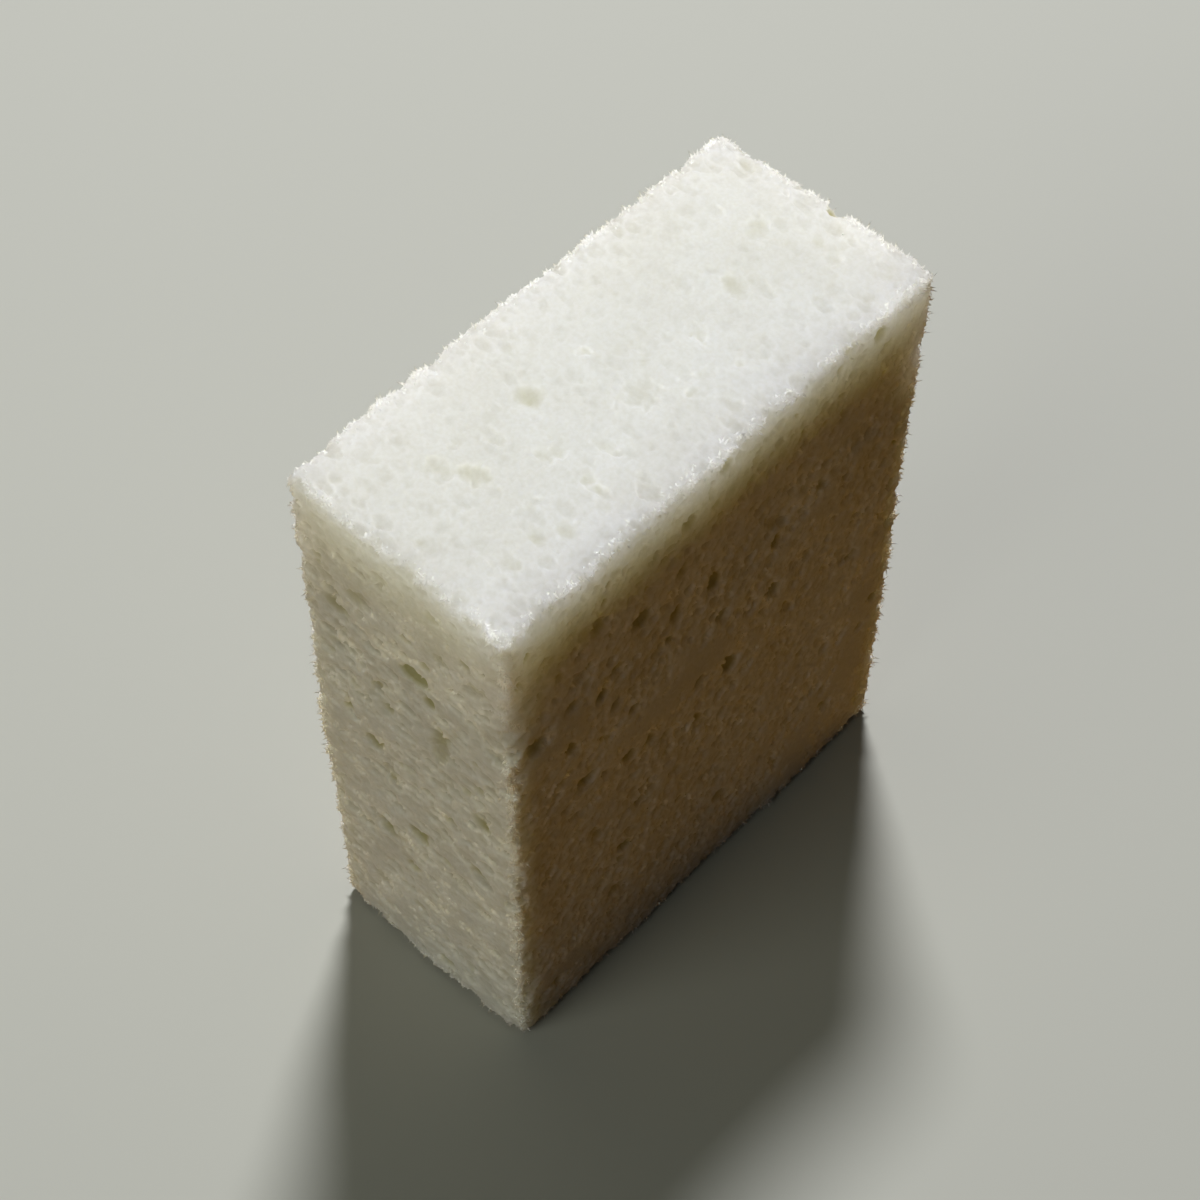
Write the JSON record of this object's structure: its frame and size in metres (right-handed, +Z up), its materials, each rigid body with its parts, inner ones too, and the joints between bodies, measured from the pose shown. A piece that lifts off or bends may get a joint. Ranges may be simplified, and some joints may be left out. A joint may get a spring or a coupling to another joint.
{
  "type": "pop-up sponge",
  "caption": "Soft rectangular block of pale open-cell cellulose foam for washing the skin, swollen from a pressed sheet and standing on its small end.",
  "frame": {"origin": "middle of the small end that the block stands on", "axes": "+Z up along the block's height, X along its width, Y through its thickness, the way the foam swells"},
  "size_m": [0.085, 0.04, 0.11],
  "materials": {
    "cellulose_foam": "matt open-cell foam, off-white"
  },
  "bodies": {
    "root": {"sponge_block": "cellulose_foam"}
  },
  "joints": []
}
